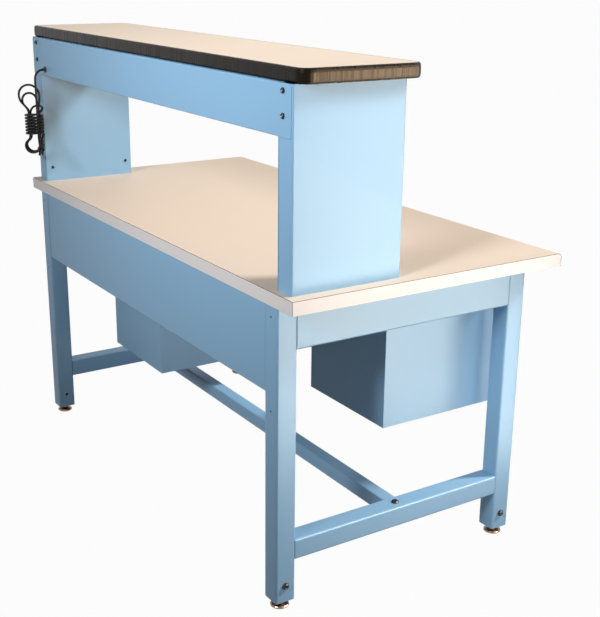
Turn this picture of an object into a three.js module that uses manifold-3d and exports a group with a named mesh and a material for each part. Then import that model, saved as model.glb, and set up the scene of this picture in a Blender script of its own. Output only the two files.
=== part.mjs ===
// Laboratory bench with a reagent shelf: a laminate worktop on two welded end frames, a rear apron,
// two hanging drawer units, and a riser of folded sheet that carries the shelf and an outlet strip.
// Millimetres, +Z up, +X to the user's right, -Y towards the user, origin on the floor at the centre.

import * as THREE from 'three';
import { mergeVertices } from 'three/addons/utils/BufferGeometryUtils.js';
import Module from 'manifold-3d';

const wasm = await Module();
wasm.setup();

// Clearances
const fit = 0.3;                  // between a piece and the one it goes into
const slideClear = 1;             // between a drawer hem and its track

// Worktop
const topLength = 1524;
const topDepth = 762;
const topThickness = 31.75;
const laminateThickness = 1.2;
const edgeStripThickness = 1.2;
const frontRollRadius = 12;

// End frames of square tube
const tubeSize = 50.8;
const tubeWall = 2;
const tubeCorner = 4;
const legLength = 711.2;
const footStandoff = 21;          // floor to the lower end of a leg
const endOverhang = 63.5;
const rearOverhang = 2;
const frontOverhang = 52;
const topRailHeight = 101.6;
const footRailRise = 101.5;       // lower end of a leg to the underside of the foot rail
const crossBoltRise = 41;
const crossBoltHole = 9.5;
const legHoleDiameter = 6;        // spare holes in the rear face of a rear leg
const legHoleDrops = [26, 242];   // below the top of the leg

// Stretcher between the foot rails
const stretcherSize = 38.1;
const stretcherWall = 2;
const tongueLength = 42;
const tongueWidth = 28;
const tongueThickness = 6;
const stretcherPlug = 8;
const stretcherBoltHole = 9.5;
const stretcherVentHole = 8;

// Rear apron
const apronHeight = 203.2;
const apronSheet = 1.5;
const apronSetback = 1.5;
const apronFlange = 26;
const apronHem = 10;

// Levelling feet
const insertLength = 70;
const insertWall = 2;
const insertFloor = 8;
const insertLift = 2;             // lower end of a leg to the underside of its insert
const stemDiameter = 9.5;
const stemLength = 66;
const stemHexAcross = 14;
const stemHexHeight = 5;
const baseDiameter = 44.4;
const baseHeight = 12;
const baseSocketFloor = 4;

// Riser
const uprightHeight = 431.8;
const uprightDepth = 281;
const uprightWidth = 54;
const uprightSheet = 1.5;
const uprightLip = 14;
const uprightEndInset = 31;
const uprightRearInset = 16;
const fasciaHeight = 108;
const fasciaSheet = 1.5;
const fasciaEndInset = 4;
const fasciaCorner = 6;
const fasciaFlange = 22;
const reliefDiameter = 4;
const sheetBend = 2;              // radius of a bend at mid sheet

// Shelf
const shelfThickness = 31.75;
const shelfEndOverhang = 22;
const shelfFrontOverhang = 30.8;
const shelfRearSetback = 7;
const shelfCorner = 26;
const trimWidth = 7;
const trimRoundWidth = 4;
const trimRoundHeight = 9;

// Outlet strip behind the fascia
const stripHeight = 46;
const stripDepth = 32;
const stripEndClear = 20;
const stripCorner = 3;
const barHeight = 34;
const barDepth = 11;
const barEndMargin = 17;
const barSwitchMargin = 95;
const receptacleCount = 8;
const receptaclePitch = 140;
const receptacleWidth = 34;
const receptacleFaceHeight = 27;
const receptacleRise = 2;
const bladeSlotWidth = 2.2;
const bladeSlotHeight = 8;
const bladeSpacing = 12.7;
const groundHole = 5;
const socketDepth = 8;
const switchLength = 24;
const switchHeight = 16;
const switchTilt = 8;             // degrees either side of level
const switchInset = 52;           // end of the strip to the switch's pivot
const switchPocketDepth = 15;

// Power cord
const cordDiameter = 6.5;
const cordHoleEndInset = 130;     // end of the worktop to the hole in the fascia
const cordHoleRise = 19;          // above the lower edge of the fascia
const reliefBodyDiameter = 14;
const reliefFlangeDiameter = 19;
const reliefFlange = 2.5;
const reliefNose = 4;
const reliefNoseDiameter = 10.5;
const reliefTail = 14;
const plugDiameter = 22;
const plugLength = 33;
const plugBladeLength = 16;

// Drawer units
const unitWidth = 320;
const unitSheet = 1.5;
const drawerFrontSetback = 36;    // front edge of the worktop to the drawer fronts
const drawerFrontThickness = 18;
const drawerFrontEdge = 2;
const drawerFrontSheet = 1.2;
const drawerFrontLip = 24;        // return of the pan's rim behind the front
const drawerFrontGap = 3;
const upperFrontHeight = 150;
const drawerSheet = 1.2;
const drawerBackClear = 6;
const hemDrop = 18;               // top of a front to the top of its drawer's hem
const hemHeight = 12;
const hemWidth = 10;
const bodyLift = 14;              // lower edge of a front to the drawer's floor
const runnerSheet = 1.5;
const runnerLipHeight = 6;
const pullSpan = 96;
const pullReach = 25;
const pullDiameter = 9;
const pullBend = 13;
const leftUnit = { side: 'left', legGap: 46.7, depth: 359, height: 394 };
const rightUnit = { side: 'right', legGap: 158.7, depth: 582, height: 462 };

// Levels and planes that follow from the sizes above
const legTop = footStandoff + legLength;
const topUnderside = legTop;
const topSurface = topUnderside + topThickness;
const rearEdge = topDepth / 2;
const frontEdge = -topDepth / 2;
const legRear = rearEdge - rearOverhang;
const legFront = frontEdge + frontOverhang;
const legOuter = topLength / 2 - endOverhang;
const legInner = legOuter - tubeSize;
const frameMiddle = (legRear + legFront) / 2;
const footRailBottom = footStandoff + footRailRise;
const footRailTop = footRailBottom + tubeSize;
const uprightOuter = topLength / 2 - uprightEndInset;
const uprightInner = uprightOuter - uprightWidth;
const uprightRear = rearEdge - uprightRearInset;
const uprightFront = uprightRear - uprightDepth;
const uprightTop = topSurface + uprightHeight;
const fasciaBottom = uprightTop - fasciaHeight;
const fasciaRear = uprightRear + fasciaSheet;
const stripEnd = uprightInner - stripEndClear;
const stripBottom = fasciaBottom + fasciaSheet;
const stripFront = uprightRear - stripDepth;
const cordHoleX = topLength / 2 - cordHoleEndInset;
const cordHoleZ = fasciaBottom + cordHoleRise;

const bench = new THREE.Group();

// Finishes
function finish(color, roughness, metalness) {
  return new THREE.MeshStandardMaterial({ color, roughness, metalness });
}
const bluePaint = finish(0x8fb9d6, 0.45, 0);
const creamLaminate = finish(0xead6c2, 0.5, 0);
const paleEdge = finish(0xe6d8d2, 0.5, 0);
const particleBoard = finish(0xb08a5c, 0.9, 0);
const blackTrim = finish(0x17171a, 0.3, 0);
const blackRubber = finish(0x101012, 0.6, 0);
const platedSteel = finish(0x6b625c, 0.3, 0.9);
const brightSteel = finish(0xc9ccd0, 0.25, 0.9);
const greyMetal = finish(0xb9bec2, 0.4, 0.6);

function addPiece(name, geometry, material) {
  const mesh = new THREE.Mesh(geometry, material);
  mesh.name = name;
  bench.add(mesh);
  return mesh;
}

// Solids for cutting and joining
function solidOf(geometry) {
  const bare = geometry.clone();
  bare.deleteAttribute('normal');
  bare.deleteAttribute('uv');
  const merged = mergeVertices(bare, 1e-4);
  const vertProperties = new Float32Array(merged.attributes.position.array);
  const triVerts = new Uint32Array(merged.index.array);
  return new wasm.Manifold(new wasm.Mesh({ numProp: 3, vertProperties, triVerts }));
}

function geometryOf(solid) {
  const mesh = solid.getMesh();
  const geometry = new THREE.BufferGeometry();
  geometry.setAttribute('position', new THREE.BufferAttribute(new Float32Array(mesh.vertProperties), 3));
  geometry.setIndex(new THREE.BufferAttribute(new Uint32Array(mesh.triVerts), 1));
  return geometry;
}

function cut(geometry, cutters) {
  return geometryOf(cutters.reduce((solid, cutter) => solid.subtract(solidOf(cutter)), solidOf(geometry)));
}

function join(geometries) {
  const solids = geometries.map(solidOf);
  return geometryOf(solids.reduce((whole, solid) => whole.add(solid)));
}

// A box between two corners
function boxBetween(low, high) {
  const size = high.map((value, axis) => value - low[axis]);
  const box = new THREE.BoxGeometry(...size);
  return box.translate(...low.map((value, axis) => value + size[axis] / 2));
}

// Extrusions: the shape's two axes are (Y, Z), (X, Z) and (X, Y) in turn
function extrudeAlongX(shape, fromX, toX, options = {}) {
  const geometry = new THREE.ExtrudeGeometry(shape, plainExtrude(toX - fromX, options));
  const turn = new THREE.Matrix4().makeBasis(
    new THREE.Vector3(0, 1, 0), new THREE.Vector3(0, 0, 1), new THREE.Vector3(1, 0, 0));
  return geometry.applyMatrix4(turn).translate(fromX, 0, 0);
}

function extrudeAlongY(shape, fromY, toY, options = {}) {
  const geometry = new THREE.ExtrudeGeometry(shape, plainExtrude(toY - fromY, options));
  const turn = new THREE.Matrix4().makeBasis(
    new THREE.Vector3(1, 0, 0), new THREE.Vector3(0, 0, 1), new THREE.Vector3(0, -1, 0));
  return geometry.applyMatrix4(turn).translate(0, toY, 0);
}

function extrudeAlongZ(shape, fromZ, toZ, options = {}) {
  return new THREE.ExtrudeGeometry(shape, plainExtrude(toZ - fromZ, options)).translate(0, 0, fromZ);
}

function plainExtrude(depth, options) {
  return { depth, bevelEnabled: false, curveSegments: 1, ...options };
}

// A rounded rectangle between two corners, as a shape or as a hole
function roundedRectangle(low, high, radius, path = new THREE.Shape()) {
  const [x0, y0] = low;
  const [x1, y1] = high;
  path.moveTo(x0 + radius, y0);
  path.lineTo(x1 - radius, y0);
  path.absarc(x1 - radius, y0 + radius, radius, -Math.PI / 2, 0, false);
  path.lineTo(x1, y1 - radius);
  path.absarc(x1 - radius, y1 - radius, radius, 0, Math.PI / 2, false);
  path.lineTo(x0 + radius, y1);
  path.absarc(x0 + radius, y1 - radius, radius, Math.PI / 2, Math.PI, false);
  path.lineTo(x0, y0 + radius);
  path.absarc(x0 + radius, y0 + radius, radius, Math.PI, 1.5 * Math.PI, false);
  return path;
}

function tubeShape(low, high, wall, corner) {
  const shape = roundedRectangle(low, high, corner);
  const inset = (value, sign) => value.map((v) => v + sign * wall);
  const inner = Math.max(corner - wall, 0.5);
  shape.holes.push(roundedRectangle(inset(low, 1), inset(high, -1), inner, new THREE.Path()));
  return shape;
}

// The section of a folded sheet: a line of bends at mid sheet, given its thickness
function sheetSection(corners, thickness, bend = sheetBend, bendSteps = 2) {
  const points = corners.map(([x, y]) => new THREE.Vector2(x, y));
  const spine = [];
  const normalOf = (direction) => new THREE.Vector2(-direction.y, direction.x);
  const directionFrom = (i) => points[i + 1].clone().sub(points[i]).normalize();
  spine.push({ at: points[0], normal: normalOf(directionFrom(0)) });
  for (let i = 1; i < points.length - 1; i += 1) {
    const before = directionFrom(i - 1);
    const after = directionFrom(i);
    const turn = Math.atan2(before.cross(after), before.dot(after));
    const reach = bend * Math.tan(Math.abs(turn) / 2);
    const start = points[i].clone().addScaledVector(before, -reach);
    const centre = start.clone().addScaledVector(normalOf(before), bend * Math.sign(turn));
    for (let step = 0; step <= bendSteps; step += 1) {
      const angle = (turn * step) / bendSteps;
      const at = start.clone().rotateAround(centre, angle);
      spine.push({ at, normal: normalOf(before).rotateAround(new THREE.Vector2(), angle) });
    }
  }
  const last = points.length - 1;
  spine.push({ at: points[last], normal: normalOf(directionFrom(last - 1)) });
  const face = (reach) => spine.map(({ at, normal }) => at.clone().addScaledVector(normal, reach));
  return new THREE.Shape([...face(thickness / 2), ...face(-thickness / 2).reverse()]);
}

// A round cutter or pin along one axis, centred at a point
function roundBar(axis, diameter, length, centre, sides = 12) {
  const bar = new THREE.CylinderGeometry(diameter / 2, diameter / 2, length, sides);
  if (axis === 'x') bar.rotateZ(Math.PI / 2);
  if (axis === 'z') bar.rotateX(Math.PI / 2);
  return bar.translate(...centre);
}

// Worktop: core, rolled laminate, and edge strips under the laminate
function buildWorktop() {
  const underLaminate = topSurface - laminateThickness;
  const coreFront = frontEdge + laminateThickness;
  const rollY = frontEdge + frontRollRadius;
  const rollZ = topSurface - frontRollRadius;
  const innerRoll = frontRollRadius - laminateThickness;
  const boardSection = (rear) => {
    const shape = new THREE.Shape();
    shape.moveTo(coreFront, topUnderside);
    shape.lineTo(rear, topUnderside);
    shape.lineTo(rear, underLaminate);
    shape.lineTo(rollY, underLaminate);
    shape.absarc(rollY, rollZ, innerRoll, Math.PI / 2, Math.PI, false);
    return shape;
  };
  const sheet = new THREE.Shape();
  sheet.moveTo(rearEdge, underLaminate);
  sheet.lineTo(rearEdge, topSurface);
  sheet.lineTo(rollY, topSurface);
  sheet.absarc(rollY, rollZ, frontRollRadius, Math.PI / 2, Math.PI, false);
  sheet.lineTo(frontEdge, topUnderside);
  sheet.lineTo(coreFront, topUnderside);
  sheet.lineTo(coreFront, rollZ);
  sheet.absarc(rollY, rollZ, innerRoll, Math.PI, Math.PI / 2, true);
  const halfLength = topLength / 2;
  const coreEnd = halfLength - edgeStripThickness;
  const coreRear = rearEdge - edgeStripThickness;
  const arcs = { curveSegments: 3 };
  addPiece('worktop_core', extrudeAlongX(boardSection(coreRear), -coreEnd, coreEnd, arcs), particleBoard);
  addPiece('worktop_laminate', extrudeAlongX(sheet, -halfLength, halfLength, arcs), creamLaminate);
  const endStrip = boardSection(rearEdge);
  addPiece('worktop_left_edge', extrudeAlongX(endStrip, -halfLength, -coreEnd, arcs), paleEdge);
  addPiece('worktop_right_edge', extrudeAlongX(endStrip, coreEnd, halfLength, arcs), paleEdge);
  const rearStrip = boxBetween([-coreEnd, coreRear, topUnderside], [coreEnd, rearEdge, underLaminate]);
  addPiece('worktop_rear_edge', rearStrip, paleEdge);
}

// One end frame: two legs, a deep top rail and a foot rail
function buildEndFrame(side, sign) {
  const outer = sign * legOuter;
  const inner = sign * legInner;
  const low = Math.min(outer, inner);
  const high = Math.max(outer, inner);
  const middle = (low + high) / 2;
  const legPlaces = { front: legFront, rear: legRear - tubeSize };
  const boltZ = footStandoff + crossBoltRise;
  for (const [end, y] of Object.entries(legPlaces)) {
    const section = tubeShape([low, y], [high, y + tubeSize], tubeWall, tubeCorner);
    const holes = [roundBar('x', crossBoltHole, 2 * tubeSize, [middle, y + tubeSize / 2, boltZ])];
    if (end === 'rear') {
      for (const drop of legHoleDrops) {
        holes.push(roundBar('y', legHoleDiameter, tubeSize / 2, [middle, y + tubeSize, legTop - drop], 10));
      }
    }
    const leg = cut(extrudeAlongZ(section, footStandoff, legTop), holes);
    addPiece(`leg_${end}_${side}`, leg, bluePaint);
    buildFoot(`${end}_${side}`, middle, y + tubeSize / 2);
  }
  const railFront = legFront + tubeSize;
  const railRear = legRear - tubeSize;
  const topRail = tubeShape([low, legTop - topRailHeight], [high, legTop], tubeWall, tubeCorner);
  addPiece(`top_rail_${side}`, extrudeAlongY(topRail, railFront, railRear), bluePaint);
  const footRail = tubeShape([low, footRailBottom], [high, footRailTop], tubeWall, tubeCorner);
  const slotTop = footRailTop - tubeWall;
  const slotBottom = slotTop - tongueThickness - 2 * fit;
  const slotHalf = tongueWidth / 2 + fit;
  const slotEnds = [inner - sign * tubeWall, inner + sign * tubeCorner].sort((a, b) => a - b);
  const slot = boxBetween(
    [slotEnds[0], frameMiddle - slotHalf, slotBottom], [slotEnds[1], frameMiddle + slotHalf, slotTop]);
  const boltHole = roundBar('z', stretcherBoltHole, 4 * tubeWall, [middle, frameMiddle, footRailTop]);
  const rail = cut(extrudeAlongY(footRail, railFront, railRear), [slot, boltHole]);
  addPiece(`foot_rail_${side}`, rail, bluePaint);
}

// Levelling foot: an insert in the leg, a stem in its thread, and a base under the stem
function buildFoot(place, x, y) {
  const half = tubeSize / 2 - tubeWall - fit;
  const insertBottom = footStandoff + insertLift;
  const insertTop = insertBottom + insertLength;
  const boltZ = footStandoff + crossBoltRise;
  const corner = Math.max(tubeCorner - tubeWall, 0.5) + fit;
  const block = extrudeAlongZ(
    roundedRectangle([x - half, y - half], [x + half, y + half], corner), insertBottom, insertTop);
  const hollow = half - insertWall;
  const bore = roundBar('z', stemDiameter + 2 * fit, 4 * insertFloor, [x, y, insertBottom], 12);
  const pocket = boxBetween(
    [x - hollow, y - hollow, insertBottom + insertFloor], [x + hollow, y + hollow, insertTop + 1]);
  const boltHole = roundBar('x', crossBoltHole, 2 * tubeSize, [x, y, boltZ]);
  addPiece(`leg_insert_${place}`, cut(block, [bore, pocket, boltHole]), platedSteel);

  const stemBottom = baseSocketFloor + fit;
  const hexBottom = baseHeight + fit;
  const stemRod = roundBar('z', stemDiameter, stemLength, [x, y, stemBottom + stemLength / 2], 12);
  const hex = roundBar('z', stemHexAcross / Math.cos(Math.PI / 6), stemHexHeight,
    [x, y, hexBottom + stemHexHeight / 2], 6);
  addPiece(`foot_stem_${place}`, join([stemRod, hex]), platedSteel);

  const rim = baseDiameter / 2;
  const socket = stemDiameter / 2 + fit;
  const profile = [
    [0, 0], [rim - 2, 0], [rim, 2], [rim, 4.5], [rim - 1.5, 6.5], [rim * 0.55, baseHeight - 1.5],
    [rim * 0.45, baseHeight], [socket, baseHeight], [socket, baseSocketFloor], [0, baseSocketFloor],
  ].map(([r, z]) => new THREE.Vector2(r, z));
  const base = new THREE.LatheGeometry(profile, 24).rotateX(Math.PI / 2).translate(x, y, 0);
  addPiece(`foot_base_${place}`, base, platedSteel);
}

// Stretcher: a tube with a plug and a flat tongue at each end
function buildStretcher() {
  const half = stretcherSize / 2;
  const low = [frameMiddle - half, footRailTop - stretcherSize];
  const high = [frameMiddle + half, footRailTop];
  const tube = extrudeAlongX(tubeShape(low, high, stretcherWall, tubeCorner), -legInner, legInner);
  const tongueTop = footRailTop - tubeWall - fit;
  const pieces = [tube];
  const holes = [];
  for (const sign of [-1, 1]) {
    const spread = (from, to) => [Math.min(sign * from, sign * to), Math.max(sign * from, sign * to)];
    const [plugFrom, plugTo] = spread(legInner - stretcherPlug, legInner);
    const [tongueFrom, tongueTo] = spread(legInner - stretcherPlug, legInner + tongueLength);
    const plugHalf = half - stretcherWall / 2;
    pieces.push(boxBetween(
      [plugFrom, frameMiddle - plugHalf, low[1] + stretcherWall / 2],
      [plugTo, frameMiddle + plugHalf, high[1] - stretcherWall / 2]));
    pieces.push(boxBetween(
      [tongueFrom, frameMiddle - tongueWidth / 2, tongueTop - tongueThickness],
      [tongueTo, frameMiddle + tongueWidth / 2, tongueTop]));
    const boltX = sign * (legInner + tubeSize / 2);
    holes.push(roundBar('z', stretcherBoltHole, 3 * tongueThickness, [boltX, frameMiddle, tongueTop]));
    const ventZ = tongueTop - tongueThickness - stretcherVentHole;
    holes.push(roundBar('x', stretcherVentHole, 3 * stretcherPlug, [sign * legInner, frameMiddle, ventZ]));
  }
  addPiece('stretcher', cut(join(pieces), holes), bluePaint);
}

// Rear apron: a folded panel with flanges, a hem along its lower edge and a tab at each end
function buildApron() {
  const face = legRear - apronSetback - apronSheet / 2;
  const top = legTop - apronSheet / 2;
  const bottom = legTop - apronHeight + apronSheet / 2;
  const back = face - apronFlange;
  const section = sheetSection(
    [[back, top], [face, top], [face, bottom], [back, bottom], [back, bottom + apronHem]], apronSheet);
  const panel = extrudeAlongX(section, -legInner, legInner);
  const tabs = [-1, 1].map((sign) => {
    const ends = [sign * legInner, sign * (legInner - apronSheet)].sort((a, b) => a - b);
    return boxBetween([ends[0], back, bottom + sheetBend], [ends[1], face, top - sheetBend]);
  });
  addPiece('rear_apron', join([panel, ...tabs]), bluePaint);
}

// Upright: a folded shell open towards the bench, closed by an inner panel behind its lips
function buildUpright(side, sign) {
  const t = uprightSheet;
  const outer = sign * (uprightOuter - t / 2);
  const open = sign * (uprightInner + t / 2 + t);
  const rear = uprightRear - t / 2;
  const front = uprightFront + t / 2;
  const section = sheetSection([
    [open, front + uprightLip], [open, front], [outer, front],
    [outer, rear], [open, rear], [open, rear - uprightLip]], t);
  addPiece(`upright_shell_${side}`, extrudeAlongZ(section, topSurface, uprightTop), bluePaint);
  const faces = [sign * uprightInner, sign * (uprightInner + t)].sort((a, b) => a - b);
  const panel = boxBetween([faces[0], uprightFront, topSurface], [faces[1], uprightRear, uprightTop]);
  addPiece(`upright_inner_panel_${side}`, panel, bluePaint);
}

// Fascia: flanged between the uprights, with plain rounded tabs over their rear faces
function buildFascia() {
  const t = fasciaSheet;
  const face = uprightRear + t / 2;
  const back = face - fasciaFlange;
  const flangeEnd = uprightInner - fit;
  const end = uprightOuter - fasciaEndInset;
  const section = sheetSection([
    [back, uprightTop - t / 2], [face, uprightTop - t / 2],
    [face, fasciaBottom + t / 2], [back, fasciaBottom + t / 2]], t);
  const channel = extrudeAlongX(section, -flangeEnd, flangeEnd);
  const tabRoot = flangeEnd - 2 * reliefDiameter;
  const bendZone = sheetBend + t;
  const tabs = [-1, 1].map((sign) => {
    const ends = [sign * tabRoot, sign * end].sort((a, b) => a - b);
    const low = [ends[0], fasciaBottom];
    const high = [ends[1], uprightTop];
    const plate = extrudeAlongY(roundedRectangle(low, high, fasciaCorner), uprightRear, fasciaRear, {
      curveSegments: 3,
    });
    const spare = [sign * (tabRoot - fasciaCorner), sign * flangeEnd].sort((a, b) => a - b);
    const trim = [fasciaBottom, uprightTop - bendZone].map((z) => boxBetween(
      [spare[0], uprightRear - t, z], [spare[1], fasciaRear + t, z + bendZone]));
    return cut(plate, trim);
  });
  const reliefs = [-1, 1].flatMap((sign) => [fasciaBottom, uprightTop].map(
    (z) => roundBar('y', reliefDiameter, 4 * bendZone, [sign * flangeEnd, face, z], 10)));
  const cordHole = roundBar(
    'y', reliefBodyDiameter + 2 * fit, 6 * t, [cordHoleX, face, cordHoleZ], 16);
  addPiece('riser_fascia', cut(join([channel, ...tabs]), [...reliefs, cordHole]), bluePaint);
}

// Shelf: core and laminate inside a bullnose edge trim with rounded corners
function buildShelf() {
  const halfLength = uprightOuter + shelfEndOverhang;
  const rear = uprightRear - shelfRearSetback;
  const front = uprightFront - shelfFrontOverhang;
  const top = uprightTop + shelfThickness;
  const low = [-halfLength, front];
  const high = [halfLength, rear];
  const inset = (corner, amount, sign) => corner.map((value) => value + sign * amount);
  const coreShape = (gap) => roundedRectangle(
    inset(low, trimWidth + gap, 1), inset(high, trimWidth + gap, -1), shelfCorner - trimWidth - gap);
  const arcs = { curveSegments: 3 };
  const noseShape = roundedRectangle(
    inset(low, trimRoundWidth, 1), inset(high, trimRoundWidth, -1), shelfCorner - trimRoundWidth);
  const nose = extrudeAlongZ(noseShape, 0, shelfThickness - 2 * trimRoundHeight, {
    ...arcs,
    bevelEnabled: true,
    bevelThickness: trimRoundHeight,
    bevelSize: trimRoundWidth,
    bevelSegments: 3,
  }).translate(0, 0, uprightTop + trimRoundHeight);
  const core = extrudeAlongZ(coreShape(fit), uprightTop, top - laminateThickness, arcs);
  const laminate = extrudeAlongZ(coreShape(fit), top - laminateThickness, top, arcs);
  const opening = extrudeAlongZ(coreShape(0), uprightTop - 1, top + 1, arcs);
  addPiece('shelf_core', core, particleBoard);
  addPiece('shelf_laminate', laminate, creamLaminate);
  addPiece('shelf_edge_trim', cut(nose, [opening]), blackTrim);
}

// Outlet strip: a housing on the fascia's lower flange, a bar of receptacles and a rocker switch
function buildOutletStrip() {
  const top = stripBottom + stripHeight;
  const middle = stripBottom + stripHeight / 2;
  const barFrom = -stripEnd + barEndMargin;
  const barTo = stripEnd - barSwitchMargin;
  const barBack = stripFront + barDepth;
  const switchX = stripEnd - switchInset;
  const section = roundedRectangle([stripFront, stripBottom], [uprightRear, top], stripCorner);
  const body = extrudeAlongX(section, -stripEnd, stripEnd);
  const groove = boxBetween(
    [barFrom - fit, stripFront - 1, middle - barHeight / 2 - fit],
    [barTo + fit, barBack + fit, middle + barHeight / 2 + fit]);
  const sweep = switchLength / 2 + 2 * fit + 1;
  const pocket = boxBetween(
    [switchX - sweep, stripFront - 1, middle - switchHeight / 2 - fit],
    [switchX + sweep, stripFront + switchPocketDepth, middle + switchHeight / 2 + fit]);
  const entry = roundBar('y', reliefBodyDiameter + 2 * fit, 2 * (reliefTail + fit),
    [cordHoleX, uprightRear, cordHoleZ], 16);
  addPiece('outlet_strip_housing', cut(body, [groove, pocket, entry]), greyMetal);

  const bar = boxBetween(
    [barFrom, stripFront, middle - barHeight / 2], [barTo, barBack, middle + barHeight / 2]);
  const faces = [bar];
  const sockets = [];
  const first = (barFrom + barTo) / 2 - ((receptacleCount - 1) * receptaclePitch) / 2;
  for (let i = 0; i < receptacleCount; i += 1) {
    const x = first + i * receptaclePitch;
    const face = roundedRectangle(
      [x - receptacleWidth / 2, middle - receptacleFaceHeight / 2],
      [x + receptacleWidth / 2, middle + receptacleFaceHeight / 2], receptacleFaceHeight / 4);
    faces.push(extrudeAlongY(face, stripFront - receptacleRise, stripFront + receptacleRise));
    for (const blade of [-1, 1]) {
      const slotX = x + (blade * bladeSpacing) / 2;
      sockets.push(boxBetween(
        [slotX - bladeSlotWidth / 2, stripFront - 2 * receptacleRise, middle],
        [slotX + bladeSlotWidth / 2, stripFront + socketDepth, middle + bladeSlotHeight]));
    }
    const groundY = stripFront + socketDepth / 2 - receptacleRise;
    const ground = [x, groundY, middle - groundHole];
    sockets.push(roundBar('y', groundHole, socketDepth + 2 * receptacleRise, ground, 8));
  }
  addPiece('outlet_receptacle_bar', cut(join(faces), sockets), blackTrim);

  const reach = switchLength / 2;
  const rocker = new THREE.Shape([
    [-reach, -1], [0, 1], [reach, -1], [reach, 3], [3, 8], [-3, 8], [-reach, 3],
  ].map(([x, y]) => new THREE.Vector2(x, y)));
  const rockerBody = extrudeAlongZ(rocker, -switchHeight / 2, switchHeight / 2);
  const rockerMesh = addPiece('outlet_switch', rockerBody, blackTrim);
  rockerMesh.position.set(switchX, stripFront + 2, middle);
  rockerMesh.rotation.z = THREE.MathUtils.degToRad(-switchTilt);
}

// Strain relief through the fascia: tail, flange and tapered nose round the cord
function buildStrainRelief() {
  const bore = cordDiameter / 2 + fit;
  const tail = reliefTail - fit;
  const nose = fasciaSheet + reliefFlange + reliefNose;
  const profile = [
    [bore, -tail], [reliefBodyDiameter / 2, -tail], [reliefBodyDiameter / 2, fasciaSheet + fit],
    [reliefFlangeDiameter / 2, fasciaSheet + fit], [reliefFlangeDiameter / 2, fasciaSheet + reliefFlange],
    [reliefBodyDiameter / 2, fasciaSheet + reliefFlange], [reliefNoseDiameter / 2, nose], [bore, nose],
    [bore, -tail],
  ].map(([r, y]) => new THREE.Vector2(r, y));
  const relief = new THREE.LatheGeometry(profile, 16).translate(0, uprightRear, 0);
  addPiece('cord_strain_relief', relief.translate(cordHoleX, 0, cordHoleZ), blackRubber);
}

// Power cord: from the strain relief out and down to the hank, whose loops are tied round the waist
const dropStraight = 0.7;         // strain relief to the start of the bend
const dropBend = 26;
const dropBendSteps = 4;
const hankWaistHalf = 31;
const hankCentreDrop = 163;       // hole in the fascia to the middle of the hank
const hankTurn = 57;              // degrees from X to the plane of the loops
const strandSpread = 13;
const loopPitch = 9.5;
const loopCount = 3;
const topFolds = [
  { rise: 88, radius: 30, shift: 10 },
  { rise: 63, radius: 21, shift: 12 },
];
const bottomFolds = [
  { rise: 51, radius: 21, shift: 7 },
  { rise: 48, radius: 21, shift: 5 },
  { rise: 53, radius: 21, shift: 8 },
];
const leadBend = 24;              // last strand up and over into the wraps
const leadTurn = 1.26;            // radians round the waist in that bend
const leadFall = 2.9;             // radians from there down to the first wrap
const leadSpread = 1.86;          // radians in which it moves out to the wraps
const wrapTurns = 7;
const wrapPitch = 9;
const wrapRadius = 25;
const tailBend = 20;
const plugDip = THREE.MathUtils.degToRad(52);

function dropRoute() {
  const start = fasciaSheet + reliefFlange + reliefNose + fit;
  const bendStart = start + dropStraight;
  const hankTop = hankWaistHalf - hankCentreDrop;
  const steps = [[start, 0]];
  for (let i = 0; i <= dropBendSteps; i += 1) {
    const angle = (Math.PI / 2) * (i / dropBendSteps);
    steps.push([bendStart + dropBend * Math.sin(angle), dropBend * (Math.cos(angle) - 1)]);
  }
  const hang = bendStart + dropBend;
  const free = hankTop + dropBend + cordDiameter;
  steps.push([hang, free / 3 - dropBend], [hang, (2 * free) / 3 - dropBend]);
  steps.push([hang, hankTop + cordDiameter], [hang, hankTop + fit]);
  return steps.map(([y, z]) => new THREE.Vector3(cordHoleX, uprightRear + y, cordHoleZ + z));
}

// An S of two equal arcs that carries a strand sideways over a height, without its ends
function sway(from, to, height) {
  const steps = 6;
  const aside = to - from || 0.01;
  const angle = 2 * Math.atan2(Math.abs(aside), height);
  const radius = height / (2 * Math.sin(angle));
  const side = Math.sign(aside);
  const points = [];
  for (let i = 1; i < steps; i += 1) {
    const upper = 2 * i > steps;
    const turned = angle * (upper ? 2 - (2 * i) / steps : (2 * i) / steps);
    const out = side * radius * (1 - Math.cos(turned));
    const up = radius * Math.sin(turned);
    points.push(upper ? [to - out, height - up] : [from + out, up]);
  }
  return points;
}

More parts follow.
